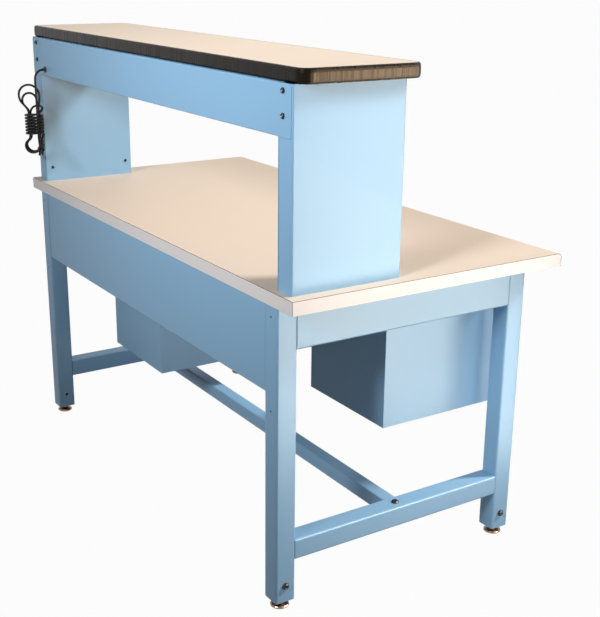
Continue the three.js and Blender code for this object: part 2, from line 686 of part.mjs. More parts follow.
// The hank in its own frame: u across the loops, n through them, z up, from its middle
function hankPoints() {
  const points = [];
  const strandSteps = 3;
  const foldSteps = 8;
  const nFirst = (-loopPitch * (loopCount - 0.5)) / 2;
  const strand = (side, fraction, goingUp) => {
    for (let i = 0; i <= strandSteps; i += 1) {
      const level = hankWaistHalf * (1 - (2 * i) / strandSteps);
      points.push([side * strandSpread, nFirst + fraction * loopPitch, goingUp ? -level : level]);
    }
  };
  const fold = ({ rise, radius, shift }, fraction, up) => {
    const side = up ? 1 : -1;
    const height = rise - radius;
    const path = sway(side * strandSpread, shift + side * radius, height);
    for (let i = 0; i <= foldSteps; i += 1) {
      const angle = (Math.PI * i) / foldSteps;
      path.push([shift + side * radius * Math.cos(angle), height + radius * Math.sin(angle)]);
    }
    path.push(...sway(-side * strandSpread, shift - side * radius, height).reverse());
    path.forEach(([u, z], i) => {
      const n = nFirst + (fraction + (0.5 * (i + 1)) / (path.length + 1)) * loopPitch;
      points.push([u, n, side * (hankWaistHalf + z)]);
    });
  };
  for (let loop = 0; loop < loopCount; loop += 1) {
    strand(-1, loop, false);
    fold(bottomFolds[loop], loop, false);
    strand(1, loop + 0.5, true);
    if (loop < topFolds.length) fold(topFolds[loop], loop + 0.5, true);
  }

  const last = points[points.length - 1];
  const startAngle = Math.atan2(last[1], last[0]);
  const coreRadius = Math.hypot(last[0], last[1]);
  const wrapTop = (wrapTurns * wrapPitch) / 2;
  const leadTop = hankWaistHalf + leadBend;
  const polar = (r, angle, z) => [r * Math.cos(angle), r * Math.sin(angle), z];
  const lead = (turn, z) => {
    const spread = THREE.MathUtils.smoothstep(turn, 0, leadSpread);
    points.push(polar(coreRadius + (wrapRadius - coreRadius) * spread, startAngle + turn, z));
  };
  const bendSteps = 5;
  for (let i = 1; i < bendSteps; i += 1) {
    const angle = (Math.PI / 2) * (i / bendSteps);
    lead(leadTurn * (1 - Math.cos(angle)), hankWaistHalf + leadBend * Math.sin(angle));
  }
  const fallSteps = 8;
  for (let i = 0; i < fallSteps; i += 1) {
    const share = i / fallSteps;
    const left = (1 + Math.cos(Math.PI * share)) / 2;
    lead(leadTurn + leadFall * share, wrapTop + (leadTop - wrapTop) * left);
  }
  const wrapSteps = 24;
  const wrapStart = startAngle + leadTurn + leadFall;
  const wrapEnd = Math.PI + 2 * Math.PI * wrapTurns;
  const count = Math.round(((wrapEnd - wrapStart) / (2 * Math.PI)) * wrapSteps);
  for (let i = 0; i <= count; i += 1) {
    const angle = wrapStart + ((wrapEnd - wrapStart) * i) / count;
    points.push(polar(wrapRadius, angle, wrapTop - (wrapPitch * (angle - wrapStart)) / (2 * Math.PI)));
  }

  const wrapFoot = points[points.length - 1][2];
  const tailSteps = 5;
  const tail = (n, z) => points.push([-wrapRadius, n, wrapFoot + z]);
  for (let i = 1; i <= tailSteps; i += 1) {
    const angle = (plugDip * i) / tailSteps;
    tail(-1.5 - tailBend * Math.sin(angle), -0.3 - tailBend * (1 - Math.cos(angle)));
  }
  tail(-1.5 - tailBend * Math.sin(plugDip) - cordDiameter * Math.cos(plugDip),
    -0.3 - tailBend * (1 - Math.cos(plugDip)) - cordDiameter * Math.sin(plugDip));
  return points;
}

function buildCord() {
  const route = dropRoute();
  const turn = THREE.MathUtils.degToRad(hankTurn);
  const across = new THREE.Vector3(Math.cos(turn), Math.sin(turn), 0);
  const through = new THREE.Vector3(Math.sin(turn), -Math.cos(turn), 0);
  const local = hankPoints();
  const offset = ([u, n, z]) => {
    const point = new THREE.Vector3(0, 0, z);
    return point.addScaledVector(across, u).addScaledVector(through, n);
  };
  const top = route[route.length - 1].clone();
  top.z -= fit;
  const origin = top.sub(offset(local[0]));
  const hank = local.map((point) => offset(point).add(origin));
  const dropTube = cordTube(route, 8, 24);
  addPiece('power_cord_drop', dropTube.geometry, blackRubber);
  const hankTube = cordTube(hank, 6, 330);
  addPiece('power_cord_hank', hankTube.geometry, blackRubber);
  const gap = leastGap(hankTube.curve.getSpacedPoints(900));
  const length = dropTube.curve.getLength() + hankTube.curve.getLength();
  console.log(`hank least gap ${gap.toFixed(2)} mm, cord length ${length.toFixed(0)} mm`);
  const [before, end] = hank.slice(-2);
  buildPlug(end, end.clone().sub(before).normalize());
}

function cordTube(points, sides, steps) {
  const curve = new THREE.CatmullRomCurve3(points, false, 'centripetal');
  curve.arcLengthDivisions = 4 * steps;
  const circle = Array.from({ length: sides }, (_, i) => {
    const angle = (2 * Math.PI * (i + 0.5)) / sides;
    return new THREE.Vector2(Math.cos(angle), Math.sin(angle)).multiplyScalar(cordDiameter / 2);
  });
  const geometry = new THREE.ExtrudeGeometry(new THREE.Shape(circle), { steps, extrudePath: curve });
  return { curve, geometry };
}

// The least clear space between stretches of the cord that are not neighbours along it
function leastGap(points) {
  const step = points[0].distanceTo(points[1]);
  const apart = Math.ceil((3 * cordDiameter) / step);
  let least = Infinity;
  for (let i = 0; i < points.length; i += 1) {
    for (let j = i + apart; j < points.length; j += 1) {
      least = Math.min(least, points[i].distanceTo(points[j]));
    }
  }
  return least - cordDiameter;
}

// Plug: a tapered moulded grip with two blades and a round pin, in line with the end of the cord
function buildPlug(end, direction) {
  const wide = plugDiameter / 2;
  const neck = cordDiameter / 2 + 1.5;
  const profile = [
    [0, 0], [neck, 0], [neck + 0.5, -8], [wide * 0.8, -13], [wide * 0.8, -plugLength + 8],
    [wide, -plugLength + 6], [wide, -plugLength], [0, -plugLength],
  ].map(([r, z]) => new THREE.Vector2(r, z)).reverse();
  const grip = new THREE.LatheGeometry(profile, 14).rotateX(Math.PI / 2);
  const pinTop = -plugLength + 2;
  const blades = [-1, 1].map((sign) => boxBetween(
    [(sign * bladeSpacing) / 2 - 0.8, -2, -plugLength - plugBladeLength],
    [(sign * bladeSpacing) / 2 + 0.8, 4.3, pinTop]));
  const pinLength = plugBladeLength + 2;
  const pin = roundBar('z', groundHole - 0.4, pinLength, [0, -6.5, pinTop - pinLength / 2], 8);
  const plug = join([grip, ...blades, pin]);
  const mesh = addPiece('power_plug', plug, blackRubber);
  mesh.position.copy(end).addScaledVector(direction, fit);
  mesh.quaternion.setFromUnitVectors(new THREE.Vector3(0, 0, -1), direction);
}

// Drawer unit: an open-fronted case under the worktop, runner panels and two drawers
const drawerFrontY = frontEdge + drawerFrontSetback;
const caseFrontY = drawerFrontY + drawerFrontThickness + fit;

function buildDrawerUnit({ side, legGap, depth, height }) {
  const t = unitSheet;
  const outerX = side === 'left' ? legGap - legInner : legInner - legGap - unitWidth;
  const rearY = drawerFrontY + depth;
  const bottom = topUnderside - height;
  const right = outerX + unitWidth;
  const shell = boxBetween([outerX, caseFrontY, bottom], [right, rearY, topUnderside]);
  const room = boxBetween(
    [outerX + t, caseFrontY - 1, bottom + t], [right - t, rearY - t, topUnderside - t]);
  addPiece(`drawer_case_${side}`, cut(shell, [room]), bluePaint);

  const fronts = [
    { level: 'upper', top: topUnderside - drawerFrontGap, height: upperFrontHeight },
    { level: 'lower', top: topUnderside - 2 * drawerFrontGap - upperFrontHeight,
      height: height - upperFrontHeight - 2 * drawerFrontGap },
  ];
  const hemTops = fronts.map((front) => front.top - hemDrop);
  const runnerFront = caseFrontY;
  const runnerRear = rearY - t - fit;
  const profileLow = bottom + t + fit;
  const profileHigh = topUnderside - t - fit;
  for (const [edge, wall, sign] of [['left', outerX + t, 1], ['right', right - t, -1]]) {
    const section = runnerSection(wall, sign, hemTops, profileLow, profileHigh);
    addPiece(`runner_panel_${side}_${edge}`, extrudeAlongY(section, runnerFront, runnerRear), greyMetal);
  }
  fronts.forEach((front, i) => {
    const name = `${side}_${front.level}`;
    buildDrawer(name, outerX, front, hemTops[i], rearY);
  });
}

// Runner panel section: a plate with a hooked track and a keeper above it for each drawer
function runnerSection(wall, sign, hemTops, low, high) {
  const t = runnerSheet;
  const at = (reach) => wall + sign * reach;
  const outline = [[at(0), low], [at(0), high], [at(t), high]];
  const hook = t + slideClear + drawerSheet + slideClear;
  for (const hemTop of hemTops) {
    const keeper = hemTop + slideClear;
    const track = hemTop - hemHeight - fit;
    const reach = hook + t;
    outline.push([at(t), keeper + t], [at(reach), keeper + t], [at(reach), keeper], [at(t), keeper]);
    outline.push([at(t), track], [at(hook), track], [at(hook), track + runnerLipHeight]);
    outline.push([at(reach), track + runnerLipHeight], [at(reach), track - t], [at(t), track - t]);
  }
  outline.push([at(t), low]);
  return new THREE.Shape(outline.map(([x, z]) => new THREE.Vector2(x, z)));
}

// Drawer: a folded tray whose hems hook over the tracks, a front folded as a pan, and a bow pull
function buildDrawer(name, outerX, front, hemTop, rearY) {
  const t = drawerSheet;
  const frontBottom = front.top - front.height;
  const middle = outerX + unitWidth / 2;
  const hemOuter = unitWidth / 2 - unitSheet - runnerSheet - slideClear - t / 2;
  const wall = hemOuter - hemWidth;
  const floor = frontBottom + bodyLift + t / 2;
  const hem = hemTop - t / 2;
  const hemFoot = hemTop - hemHeight;
  const halfSection = [[hemOuter, hemFoot], [hemOuter, hem], [wall, hem], [wall, floor]];
  const leftHalf = halfSection.map(([reach, z]) => [middle - reach, z]);
  const rightHalf = halfSection.map(([reach, z]) => [middle + reach, z]).reverse();
  const section = sheetSection([...leftHalf, ...rightHalf], t);
  const bodyFront = drawerFrontY + drawerFrontThickness;
  const bodyRear = rearY - unitSheet - drawerBackClear;
  const tray = extrudeAlongY(section, bodyFront, bodyRear);
  const endWall = (y) => boxBetween(
    [middle - wall, y, floor], [middle + wall, y + t, hemTop - sheetBend]);
  addPiece(`drawer_body_${name}`, join([tray, endWall(bodyFront), endWall(bodyRear - t)]), greyMetal);

  const e = drawerFrontEdge;
  const panelShape = roundedRectangle(
    [outerX + e, frontBottom + e], [outerX + unitWidth - e, front.top - e], e);
  const panel = extrudeAlongY(panelShape, drawerFrontY + e, drawerFrontY + drawerFrontThickness - e, {
    bevelEnabled: true, bevelThickness: e, bevelSize: e, bevelSegments: 2,
  });
  const s = drawerFrontSheet;
  const lip = drawerFrontLip;
  const right = outerX + unitWidth;
  const hollow = boxBetween(
    [outerX + s, drawerFrontY + s, frontBottom + s], [right - s, bodyFront - s, front.top - s]);
  const openBack = boxBetween(
    [outerX + lip, bodyFront - 2 * s, frontBottom + lip], [right - lip, bodyFront + 1, front.top - lip]);
  addPiece(`drawer_front_${name}`, cut(panel, [hollow, openBack]), bluePaint);
  buildPull(name, middle, front.top - upperFrontHeight / 2);
}

function buildPull(name, x, z) {
  const half = pullSpan / 2;
  const seat = drawerFrontY - fit;
  const out = seat - pullReach;
  const bow = new THREE.CurvePath();
  const point = (dx, y) => new THREE.Vector3(x + dx, y, z);
  const [leftFoot, rightFoot] = [point(-half, seat), point(half, seat)];
  const [leftBend, rightBend] = [point(-half, out + pullBend), point(half, out + pullBend)];
  const [leftCorner, rightCorner] = [point(-half, out), point(half, out)];
  const [leftGrip, rightGrip] = [point(pullBend - half, out), point(half - pullBend, out)];
  bow.add(new THREE.LineCurve3(leftFoot, leftBend));
  bow.add(new THREE.QuadraticBezierCurve3(leftBend, leftCorner, leftGrip));
  bow.add(new THREE.LineCurve3(leftGrip, rightGrip));
  bow.add(new THREE.QuadraticBezierCurve3(rightGrip, rightCorner, rightBend));
  bow.add(new THREE.LineCurve3(rightBend, rightFoot));
  const sides = 8;
  const circle = Array.from({ length: sides }, (_, i) => {
    const angle = (2 * Math.PI * (i + 0.5)) / sides;
    return new THREE.Vector2(Math.cos(angle), Math.sin(angle)).multiplyScalar(pullDiameter / 2);
  });
  const bar = new THREE.ExtrudeGeometry(new THREE.Shape(circle), { steps: 22, extrudePath: bow });
  addPiece(`drawer_pull_${name}`, bar, brightSteel);
}

buildWorktop();
for (const [side, sign] of [['left', -1], ['right', 1]]) {
  buildEndFrame(side, sign);
  buildUpright(side, sign);
}
buildStretcher();
buildApron();
buildFascia();
buildShelf();
buildOutletStrip();
buildStrainRelief();
buildCord();
for (const unit of [leftUnit, rightUnit]) buildDrawerUnit(unit);

export default bench;
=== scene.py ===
import math

import bmesh
import bpy
from mathutils import Matrix, Vector


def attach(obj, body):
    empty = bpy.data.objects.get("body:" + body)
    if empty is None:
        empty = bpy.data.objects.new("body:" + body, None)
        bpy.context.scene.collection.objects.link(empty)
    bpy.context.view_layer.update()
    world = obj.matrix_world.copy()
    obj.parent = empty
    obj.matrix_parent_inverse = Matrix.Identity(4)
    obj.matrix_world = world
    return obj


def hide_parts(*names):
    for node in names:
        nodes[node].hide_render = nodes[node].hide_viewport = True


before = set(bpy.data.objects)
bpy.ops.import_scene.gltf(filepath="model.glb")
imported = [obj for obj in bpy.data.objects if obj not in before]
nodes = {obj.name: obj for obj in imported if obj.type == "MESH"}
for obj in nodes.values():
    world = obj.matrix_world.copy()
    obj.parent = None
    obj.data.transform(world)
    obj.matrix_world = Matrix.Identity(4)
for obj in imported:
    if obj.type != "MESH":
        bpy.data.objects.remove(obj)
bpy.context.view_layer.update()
scene = bpy.context.scene
scene.view_settings.view_transform = "Standard"

MM = 0.001


# Camera, solved from the photograph's edges
FOCAL_PX = 1090.57
IMAGE_WIDTH_PX = 600
SENSOR_WIDTH = 36
CAMERA_PLACE = Vector((-2.54036, 1.51722, 1.43020))
CAMERA_AZIMUTH = math.radians(237.027)
CAMERA_ELEVATION = math.radians(17.843)
CAMERA_ROLL = math.radians(0.618)


def make_camera():
    data = bpy.data.cameras.new("camera")
    data.sensor_fit = "HORIZONTAL"
    data.sensor_width = SENSOR_WIDTH
    data.lens = SENSOR_WIDTH * FOCAL_PX / IMAGE_WIDTH_PX
    camera = bpy.data.objects.new("camera", data)
    scene.collection.objects.link(camera)
    az, el, roll = CAMERA_AZIMUTH, CAMERA_ELEVATION, CAMERA_ROLL
    back = Vector((math.sin(az) * math.cos(el), -math.cos(az) * math.cos(el), math.sin(el)))
    right = Vector((math.cos(az), math.sin(az), 0))
    up = back.cross(right)
    right_rolled = right * math.cos(roll) + up * math.sin(roll)
    up_rolled = up * math.cos(roll) - right * math.sin(roll)
    turn = Matrix((right_rolled, up_rolled, back)).transposed().to_4x4()
    camera.matrix_world = Matrix.Translation(CAMERA_PLACE) @ turn
    scene.camera = camera


make_camera()


# Materials
MIX_A, MIX_B, MIX_RESULT = 6, 7, 2    # a Mix node's sockets for colours
MOTTLE_SCALE = 9.0
MOTTLE_DETAIL = 3.0
MOTTLE_SHIFT = 0.5
STREAK_SCALE = 260.0
STREAK_DETAIL = 4.0
STREAK_STRETCH = (1.0, 1.0, 0.03)
GRAIN_DETAIL = 2.0
GRAIN_DEPTH = 0.6 * MM
EDGE_SAMPLES = 4
WHITE = (1.0, 1.0, 1.0, 1.0)


class Nodes:
    """A node tree under construction, with short ways to add and link nodes."""

    def __init__(self, tree):
        self.tree = tree
        tree.nodes.clear()

    def add(self, kind, inputs=None, **settings):
        """A new node, whose inputs are values, or sockets to link."""
        node = self.tree.nodes.new(kind)
        for key, value in settings.items():
            setattr(node, key, value)
        for key, value in (inputs or {}).items():
            socket = node.inputs[key]
            if isinstance(value, bpy.types.NodeSocket):
                self.tree.links.new(value, socket)
            else:
                socket.default_value = value
        return node

    def math(self, operation, a, b=0.0, clamp=False):
        return self.add("ShaderNodeMath", {0: a, 1: b}, operation=operation, use_clamp=clamp).outputs[0]

    def mix(self, factor, a, b):
        inputs = {"Factor": factor, MIX_A: a, MIX_B: b}
        return self.add("ShaderNodeMix", inputs, data_type="RGBA").outputs[MIX_RESULT]

    def noise(self, place, scale, detail):
        inputs = {"Vector": place, "Scale": scale, "Detail": detail}
        return self.add("ShaderNodeTexNoise", inputs).outputs["Fac"]


def rgb(red, green, blue):
    """A linear colour from 8-bit display values."""
    def linear(value):
        v = value / 255
        return v / 12.92 if v <= 0.04045 else ((v + 0.055) / 1.055) ** 2.4
    return (linear(red), linear(green), linear(blue), 1.0)


KRAFT_BROWN = rgb(96, 70, 52)


def surface(name, color, roughness, metallic=0.0, grain=0.0, grain_scale=900.0, mottle=0.0, edge=0.0,
            specular=0.5, tint=WHITE, line=None, streak=0.0):
    """A principled finish with fine grain, faint mottling, softened edges, and optional lines and streaks."""
    material = bpy.data.materials.new(name)
    material.use_nodes = True
    n = Nodes(material.node_tree)
    place = n.add("ShaderNodeTexCoord").outputs["Object"]
    base = color
    if mottle:
        level = n.math("ADD", n.noise(place, MOTTLE_SCALE, MOTTLE_DETAIL), MOTTLE_SHIFT)
        darker = tuple(c * (1 - mottle) for c in color[:3]) + (1.0,)
        base = n.mix(level, darker, color)
    if line:
        base = n.mix(line(n, place), base, KRAFT_BROWN)
    if streak:
        stretched = n.add("ShaderNodeVectorMath", {0: place, 1: STREAK_STRETCH}, operation="MULTIPLY")
        mark = n.noise(stretched.outputs[0], STREAK_SCALE, STREAK_DETAIL)
        wear = n.math("MULTIPLY", mark, 2 * streak)
        roughness = n.math("ADD", wear, roughness - streak, clamp=True)
    finish = {"Base Color": base, "Roughness": roughness, "Metallic": metallic,
              "Specular IOR Level": specular, "Specular Tint": tint}
    if edge:
        finish["Normal"] = n.add("ShaderNodeBevel", {"Radius": edge}, samples=EDGE_SAMPLES).outputs[0]
    if grain:
        speckle = n.noise(place, grain_scale, GRAIN_DETAIL)
        bump = {"Height": speckle, "Strength": grain, "Distance": GRAIN_DEPTH}
        if edge:
            bump["Normal"] = finish["Normal"]
        finish["Normal"] = n.add("ShaderNodeBump", bump).outputs[0]
    shader = n.add("ShaderNodeBsdfPrincipled", finish)
    n.add("ShaderNodeOutputMaterial", {"Surface": shader.outputs[0]})
    return material


def beyond(axis, limit, both_sides=True):
    """A mask that is 1 where the place along one axis passes a limit, on one side or both."""
    def mask(n, place):
        size = n.add("ShaderNodeSeparateXYZ", {0: place}).outputs[axis]
        if both_sides:
            size = n.math("ABSOLUTE", size)
        return n.math("GREATER_THAN", size, limit)
    return mask


def either(first, second):
    """A mask that is 1 where one of two masks is."""
    def mask(n, place):
        return n.math("MAXIMUM", first(n, place), second(n, place))
    return mask


# Where the worktop's laminate shows its brown cut edge
HALF_LENGTH = 762 * MM
HALF_DEPTH = 381 * MM
SKIN = 0.1 * MM
AT_ENDS = beyond("X", HALF_LENGTH - SKIN)
AT_REAR = beyond("Y", HALF_DEPTH - SKIN, both_sides=False)
AT_CORNERS = beyond("Y", HALF_DEPTH - SKIN)

LAMINATE = {"color": rgb(230, 212, 195), "roughness": 0.64, "grain": 0.05, "grain_scale": 1500,
            "mottle": 0.03, "specular": 0.16}
STRIP = {"color": rgb(248, 238, 236), "roughness": 0.4, "grain": 0.04, "mottle": 0.03}

blue_paint = surface("blue_paint", rgb(147, 191, 225), 0.4, grain=0.06, mottle=0.04, edge=1.2 * MM,
                     specular=0.24)
cream_laminate = surface("cream_laminate", **LAMINATE)
kraft_laminate = surface("kraft_edged_laminate", line=either(AT_ENDS, AT_REAR), **LAMINATE)
pale_edge = surface("pale_edge_strip", specular=0.16, line=AT_CORNERS, **STRIP)
rear_edge = surface("pale_rear_strip", **STRIP)
raw_board = surface("raw_board", rgb(186, 150, 108), 0.85, grain=0.4, grain_scale=400, mottle=0.3)
# The warm specular tint is a painted reflection: it gives the black trim's reflections a bronze colour that
# stands in for a warm room mirrored in them.
black_trim = surface("black_trim", rgb(9, 9, 11), 0.32, grain=0.03, specular=0.15,
                     tint=(1.0, 0.7, 0.44, 1.0), streak=0.4)
black_plastic = surface("black_plastic", rgb(30, 30, 32), 0.35, grain=0.05, edge=0.5 * MM)
black_rubber = surface("black_rubber", rgb(11, 11, 13), 0.42, grain=0.05, specular=0.25)
black_screw = surface("black_screw", rgb(13, 13, 17), 0.2, metallic=0.2)
plated_steel = surface("plated_steel", rgb(142, 122, 108), 0.22, metallic=1.0, mottle=0.2, edge=0.4 * MM)
bright_steel = surface("bright_steel", rgb(205, 208, 212), 0.16, metallic=1.0)
grey_metal = surface("grey_metal", rgb(190, 194, 198), 0.4, metallic=0.2, grain=0.05, mottle=0.04,
                     edge=0.5 * MM)

# The finish of each solid by how its name starts; the rest are painted
FINISHES = (
    ("worktop_laminate", kraft_laminate), ("shelf_laminate", cream_laminate),
    ("worktop_rear_edge", rear_edge), ("worktop_left_edge", pale_edge), ("worktop_right_edge", pale_edge),
    ("worktop_core", raw_board), ("shelf_core", raw_board), ("shelf_edge_trim", black_trim),
    ("outlet_receptacle_bar", black_plastic), ("outlet_switch", black_plastic),
    ("outlet_strip_housing", grey_metal), ("runner_panel", grey_metal), ("drawer_body", grey_metal),
    ("drawer_pull", bright_steel), ("leg_insert", plated_steel), ("foot_stem", plated_steel),
    ("foot_base", plated_steel), ("cord_strain_relief", black_plastic), ("power_plug", black_rubber),
    ("power_cord", black_rubber),
)


def finish_of(name):
    for start, material in FINISHES:
        if name.startswith(start):
            return material
    return blue_paint


for node_name, node in nodes.items():
    node.data.materials.clear()
    node.data.materials.append(finish_of(node_name))


# Power cord: the same route and hank as the CAD source, in millimetres
CORD_DIAMETER = 6.5
CORD_BEVEL_STEPS = 3
FIT = 0.3
CORD_HOLE = (632.0, 365.0, 1106.75)
RELIEF_REACH = 8.0
DROP_STRAIGHT = 0.7
DROP_BEND = 26.0
DROP_BEND_STEPS = 4
WAIST_HALF = 31.0
HANK_DROP = 163.0
HANK_TURN = math.radians(57)
STRAND_SPREAD = 13.0
STRAND_STEPS = 3
LOOP_PITCH = 9.5
LOOP_COUNT = 3
# Rise, radius and sideways shift of each fold
TOP_FOLDS = ((88, 30, 10), (63, 21, 12))
BOTTOM_FOLDS = ((51, 21, 7), (48, 21, 5), (53, 21, 8))
FOLD_STEPS = 8
SWAY_STEPS = 6
LEAST_SWAY = 0.01
# The last strand up and over into the wraps; its turn, fall and spread are radians round the waist
LEAD_BEND = 24.0
LEAD_BEND_STEPS = 5
LEAD_TURN = 1.26
LEAD_FALL = 2.9
LEAD_FALL_STEPS = 8
LEAD_SPREAD = 1.86
WRAP_TURNS = 7
WRAP_PITCH = 9.0
WRAP_RADIUS = 25.0
WRAP_STEPS = 24
TAIL_START = 1.5
TAIL_SAG = 0.3
TAIL_BEND = 20.0
TAIL_STEPS = 5
PLUG_DIP = math.radians(52)
SPLINE_STEPS = 4
LEAST_SPAN = 1e-6


def drop_route():
    """The cord from the strain relief down to the hank."""
    start = RELIEF_REACH + FIT
    bend_start = start + DROP_STRAIGHT
    hank_top = WAIST_HALF - HANK_DROP
    steps = [(start, 0)]
    for i in range(DROP_BEND_STEPS + 1):
        angle = math.pi / 2 * i / DROP_BEND_STEPS
        steps.append((bend_start + DROP_BEND * math.sin(angle), DROP_BEND * (math.cos(angle) - 1)))
    hang = bend_start + DROP_BEND
    free = hank_top + DROP_BEND + CORD_DIAMETER
    steps += [(hang, free / 3 - DROP_BEND), (hang, 2 * free / 3 - DROP_BEND)]
    steps += [(hang, hank_top + CORD_DIAMETER), (hang, hank_top + FIT)]
    x, y, z = CORD_HOLE
    return [Vector((x, y + dy, z + dz)) for dy, dz in steps]


def sway(start, end, height):
    """An S of two equal arcs that carries a strand sideways over a height, without its ends."""
    aside = end - start or LEAST_SWAY
    angle = 2 * math.atan2(abs(aside), height)
    radius = height / (2 * math.sin(angle))
    points = []
    for i in range(1, SWAY_STEPS):
        upper = 2 * i > SWAY_STEPS
        turned = angle * (2 - 2 * i / SWAY_STEPS if upper else 2 * i / SWAY_STEPS)
        out = math.copysign(radius * (1 - math.cos(turned)), aside)
        up = radius * math.sin(turned)
        points.append((end - out, height - up) if upper else (start + out, up))
    return points


def hank_points():
    """The hank's points as (across, through, up) from the middle of its waist."""
    points = []
    first = -LOOP_PITCH * (LOOP_COUNT - 0.5) / 2

    def strand(side, fraction, going_up):
        for i in range(STRAND_STEPS + 1):
            level = WAIST_HALF * (1 - 2 * i / STRAND_STEPS)
            depth = first + fraction * LOOP_PITCH
            points.append((side * STRAND_SPREAD, depth, -level if going_up else level))

    def fold(size, fraction, up):
        rise, radius, shift = size
        side = 1 if up else -1
        height = rise - radius
        path = sway(side * STRAND_SPREAD, shift + side * radius, height)
        for i in range(FOLD_STEPS + 1):
            angle = math.pi * i / FOLD_STEPS
            path.append((shift + side * radius * math.cos(angle), height + radius * math.sin(angle)))
        path += sway(-side * STRAND_SPREAD, shift - side * radius, height)[::-1]
        for i, (u, z) in enumerate(path):
            depth = first + (fraction + 0.5 * (i + 1) / (len(path) + 1)) * LOOP_PITCH
            points.append((u, depth, side * (WAIST_HALF + z)))

    for loop in range(LOOP_COUNT):
        strand(-1, loop, False)
        fold(BOTTOM_FOLDS[loop], loop, False)
        strand(1, loop + 0.5, True)
        if loop < len(TOP_FOLDS):
            fold(TOP_FOLDS[loop], loop + 0.5, True)

    last = points[-1]
    start_angle = math.atan2(last[1], last[0])
    core = math.hypot(last[0], last[1])
    wrap_top = WRAP_TURNS * WRAP_PITCH / 2
    lead_top = WAIST_HALF + LEAD_BEND

    def polar(r, angle, z):
        points.append((r * math.cos(angle), r * math.sin(angle), z))

    def lead(turn, z):
        share = min(turn / LEAD_SPREAD, 1)
        spread = share * share * (3 - 2 * share)
        polar(core + (WRAP_RADIUS - core) * spread, start_angle + turn, z)

    for i in range(1, LEAD_BEND_STEPS):
        angle = math.pi / 2 * i / LEAD_BEND_STEPS
        lead(LEAD_TURN * (1 - math.cos(angle)), WAIST_HALF + LEAD_BEND * math.sin(angle))
    for i in range(LEAD_FALL_STEPS):
        left = (1 + math.cos(math.pi * i / LEAD_FALL_STEPS)) / 2
        lead(LEAD_TURN + LEAD_FALL * i / LEAD_FALL_STEPS, wrap_top + (lead_top - wrap_top) * left)
    wrap_start = start_angle + LEAD_TURN + LEAD_FALL
    wrap_end = math.pi + 2 * math.pi * WRAP_TURNS
    count = round((wrap_end - wrap_start) / (2 * math.pi) * WRAP_STEPS)
    for i in range(count + 1):
        angle = wrap_start + (wrap_end - wrap_start) * i / count
        polar(WRAP_RADIUS, angle, wrap_top - WRAP_PITCH * (angle - wrap_start) / (2 * math.pi))

    foot = points[-1][2]
    for i in range(1, TAIL_STEPS + 1):
        angle = PLUG_DIP * i / TAIL_STEPS
        points.append((-WRAP_RADIUS, -TAIL_START - TAIL_BEND * math.sin(angle),
                       foot - TAIL_SAG - TAIL_BEND * (1 - math.cos(angle))))
    u, n, z = points[-1]
    points.append((u, n - CORD_DIAMETER * math.cos(PLUG_DIP), z - CORD_DIAMETER * math.sin(PLUG_DIP)))
    return points


def smooth(points):
    """A centripetal spline through the points, sampled."""
    ends = [2 * points[0] - points[1]] + points + [2 * points[-1] - points[-2]]
    out = []
    for i in range(1, len(ends) - 2):
        p0, p1, p2, p3 = ends[i - 1:i + 3]
        d0, d1, d2 = (max((b - a).length, LEAST_SPAN) ** 0.5 for a, b in ((p0, p1), (p1, p2), (p2, p3)))
        m1 = ((p1 - p0) / d0 - (p2 - p0) / (d0 + d1) + (p2 - p1) / d1) * d1
        m2 = ((p2 - p1) / d1 - (p3 - p1) / (d1 + d2) + (p3 - p2) / d2) * d1
        for step in range(SPLINE_STEPS):
            t = step / SPLINE_STEPS
            out.append(p1 * (2 * t ** 3 - 3 * t ** 2 + 1) + m1 * (t ** 3 - 2 * t ** 2 + t)
                       + p2 * (3 * t ** 2 - 2 * t ** 3) + m2 * (t ** 3 - t ** 2))
    out.append(points[-1])
    return out


def make_cord():
    drop = drop_route()
    across = Vector((math.cos(HANK_TURN), math.sin(HANK_TURN), 0))
    through = Vector((math.sin(HANK_TURN), -math.cos(HANK_TURN), 0))
    local = [across * u + through * n + Vector((0, 0, z)) for u, n, z in hank_points()]
    origin = drop[-1] - Vector((0, 0, FIT)) - local[0]
    hank = [origin + point for point in local]
    route = smooth(drop)[:-1] + smooth(hank)
    curve = bpy.data.curves.new("power_cord", "CURVE")
    curve.dimensions = "3D"
    curve.bevel_depth = CORD_DIAMETER / 2 * MM
    curve.bevel_resolution = CORD_BEVEL_STEPS
    curve.use_fill_caps = True
    spline = curve.splines.new("POLY")
    spline.points.add(len(route) - 1)
    for spot, point in zip(spline.points, route):
        spot.co = (*(point * MM), 1.0)
    spline.use_smooth = True
    cord = bpy.data.objects.new("power_cord", curve)
    scene.collection.objects.link(cord)
    curve.materials.append(black_rubber)
    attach(cord, "bench")
    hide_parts("power_cord_drop", "power_cord_hank")


make_cord()


# Small fasteners: domed heads with a hexagon socket, in millimetres
# From the seat to the socket's floor: share of the radius, share of the height, corners (0 for a circle)
HEAD_PROFILE = (
    (0.96, 0, 0), (1, 0.18, 0), (0.93, 0.5, 0), (0.76, 0.82, 0), (0.52, 1, 0), (0.4, 1, 6), (0.38, 0.35, 6))
HEAD_SIDES = 24


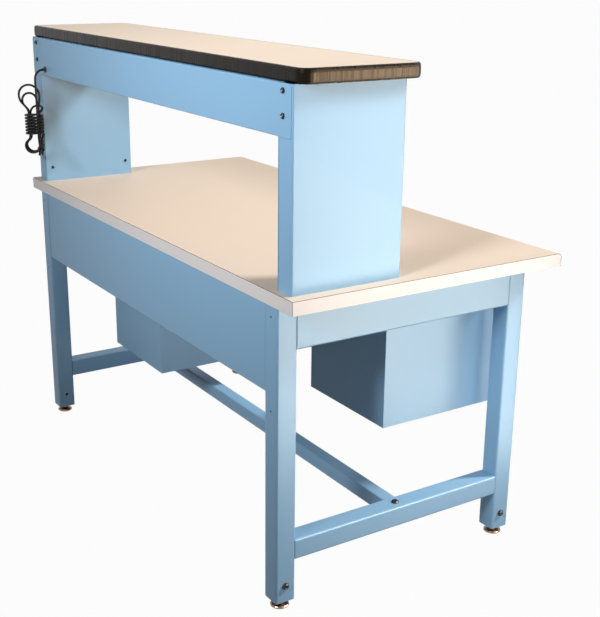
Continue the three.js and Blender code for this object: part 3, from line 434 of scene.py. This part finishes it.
def fastener(name, size, place, axis):
    """A head of a diameter and a height, whose seat is at a place and which points along an axis."""
    diameter, head_height = size
    mesh = bpy.data.meshes.new(name)
    bm = bmesh.new()
    loops = []
    for radius_share, height_share, corners in HEAD_PROFILE:
        radius = diameter / 2 * radius_share
        loop = []
        for i in range(HEAD_SIDES):
            angle = 2 * math.pi * i / HEAD_SIDES
            reach = radius
            if corners:
                sector = 2 * math.pi / corners
                reach = radius * math.cos(sector / 2) / math.cos(angle % sector - sector / 2)
            corner = (reach * math.cos(angle), reach * math.sin(angle), head_height * height_share)
            loop.append(bm.verts.new(corner))
        loops.append(loop)
    for low, high in zip(loops, loops[1:]):
        for i in range(HEAD_SIDES):
            j = (i + 1) % HEAD_SIDES
            bm.faces.new((low[i], low[j], high[j], high[i]))
    bm.faces.new(list(reversed(loops[0])))
    bm.faces.new(loops[-1])
    bmesh.ops.recalc_face_normals(bm, faces=bm.faces)
    for face in bm.faces:
        face.smooth = len(face.verts) == 4
    turn = Vector((0, 0, 1)).rotation_difference(Vector(axis)).to_matrix().to_4x4()
    bm.transform(Matrix.Translation(Vector(place) * MM) @ turn @ Matrix.Scale(MM, 4))
    bm.to_mesh(mesh)
    bm.free()
    mesh.materials.append(black_screw)
    piece = bpy.data.objects.new(name, mesh)
    scene.collection.objects.link(piece)
    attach(piece, "bench")


# Diameter and height of each head
CROSS_BOLT = (17.5, 6)
STRETCHER_BOLT = (18, 6)
FASCIA_SCREW = (13, 4.5)
UPRIGHT_SCREW = (9, 3)

LEG_MIDDLE_X = 673.1
LEG_OUTER_X = 698.5
LEG_MIDDLE_Y = {"front": -303.6, "rear": 353.6}
CROSS_BOLT_Z = 62.0
FRAME_MIDDLE_Y = 25.0
FOOT_RAIL_TOP = 173.3
FASCIA_REAR = 366.5
FASCIA_SCREW_X = 697.0
FASCIA_SCREW_Z = (1181.0, 1131.0)
UPRIGHT_INNER_X = 677.0
UPRIGHT_SCREW_Y = (103.0, 345.0)
UPRIGHT_SCREW_Z = 806.0

for side, sign in (("left", -1), ("right", 1)):
    for end, y in LEG_MIDDLE_Y.items():
        fastener(f"cross_bolt_{end}_{side}", CROSS_BOLT, (sign * LEG_OUTER_X, y, CROSS_BOLT_Z), (sign, 0, 0))
    fastener(f"stretcher_bolt_{side}", STRETCHER_BOLT, (sign * LEG_MIDDLE_X, FRAME_MIDDLE_Y, FOOT_RAIL_TOP),
             (0, 0, 1))
    for i, z in enumerate(FASCIA_SCREW_Z):
        fastener(f"fascia_screw_{side}_{i}", FASCIA_SCREW, (sign * FASCIA_SCREW_X, FASCIA_REAR, z), (0, 1, 0))
    for i, y in enumerate(UPRIGHT_SCREW_Y):
        fastener(f"upright_screw_{side}_{i}", UPRIGHT_SCREW, (sign * UPRIGHT_INNER_X, y, UPRIGHT_SCREW_Z),
                 (-sign, 0, 0))


# Floor, world and lamps, in metres
FLOOR_HALF = 60.0
FLOOR_GREY = (0.15, 0.15, 0.15, 1.0)
FLOOR_SHADOW = 0.03
SKY = (0.86, 0.93, 1.0, 1.0)
SKY_STRENGTH = 0.08


def seen_directly(n):
    """1 for rays of the camera, of reflections and through clear pieces, 0 for those that bring light."""
    path = n.add("ShaderNodeLightPath")
    seen = n.math("MAXIMUM", path.outputs["Is Camera Ray"], path.outputs["Is Glossy Ray"])
    return n.math("MAXIMUM", seen, path.outputs["Is Transmission Ray"])


def make_floor():
    """A grey floor that is seen as white, with a trace of its shadows."""
    mesh = bpy.data.meshes.new("floor")
    corners = [(-FLOOR_HALF, -FLOOR_HALF), (FLOOR_HALF, -FLOOR_HALF),
               (FLOOR_HALF, FLOOR_HALF), (-FLOOR_HALF, FLOOR_HALF)]
    mesh.from_pydata([(x, y, 0) for x, y in corners], [], [(0, 1, 2, 3)])
    material = bpy.data.materials.new("floor")
    material.use_nodes = True
    n = Nodes(material.node_tree)
    grey = n.add("ShaderNodeBsdfDiffuse", {"Color": FLOOR_GREY})
    white = n.add("ShaderNodeEmission", {"Color": WHITE, "Strength": 1.0})
    factor = n.math("MULTIPLY", seen_directly(n), 1 - FLOOR_SHADOW)
    mixed = n.add("ShaderNodeMixShader", {0: factor, 1: grey.outputs[0], 2: white.outputs[0]})
    n.add("ShaderNodeOutputMaterial", {"Surface": mixed.outputs[0]})
    mesh.materials.append(material)
    floor = bpy.data.objects.new("floor", mesh)
    scene.collection.objects.link(floor)


def make_world():
    """A faint blue light from all round that is seen as white."""
    world = bpy.data.worlds.new("studio")
    scene.world = world
    world.use_nodes = True
    n = Nodes(world.node_tree)
    sky = n.add("ShaderNodeBackground", {"Color": SKY, "Strength": SKY_STRENGTH})
    white = n.add("ShaderNodeBackground", {"Color": WHITE, "Strength": 1.0})
    mixed = n.add("ShaderNodeMixShader", {0: seen_directly(n), 1: sky.outputs[0], 2: white.outputs[0]})
    n.add("ShaderNodeOutputWorld", {"Surface": mixed.outputs[0]})


def softbox(name, place, aim, size, power, color, spread=None, unseen_by=()):
    """A rectangular lamp, if need be with a narrower spread in degrees and kinds of rays that miss it."""
    data = bpy.data.lights.new(name, "AREA")
    data.shape = "RECTANGLE"
    data.size, data.size_y = size
    data.energy = power
    data.color = color
    if spread:
        data.spread = math.radians(spread)
    lamp = bpy.data.objects.new(name, data)
    scene.collection.objects.link(lamp)
    lamp.location = place
    lamp.rotation_euler = (Vector(aim) - Vector(place)).to_track_quat("-Z", "Y").to_euler()
    for rays in unseen_by:
        setattr(lamp, f"visible_{rays}", False)


make_floor()
make_world()
softbox("key", (-2.6, -4.6, 5.6), (0, 0, 0.9), (0.9, 0.9), 455, (1.0, 0.95, 0.88))
# Shows the right end in other views, without a glare on the worktop
softbox("side", (3.2, -1.4, 1.7), (0.7, 0, 0.6), (1.2, 1.2), 24, (1.0, 0.97, 0.93), unseen_by=["glossy"])
softbox("fill", (-1.4, -0.1, 0.3), (-0.65, -0.1, 0.5), (0.5, 0.3), 2.4, (1.0, 0.9, 0.82),
        unseen_by=["camera"])
# A bright room's reflection in the surfaces that face left
softbox("glint", (-1.13, -0.23, 0.68), (-0.315, 0.35, 0.68), (0.78, 1.15), 20, (1.0, 0.92, 0.8),
        spread=100, unseen_by=["camera", "diffuse"])
softbox("rear", (-1.8, 4.0, 3.1), (-0.4, 0.37, 1.55), (1.2, 1.2), 12, (0.93, 0.98, 1.0), spread=38)
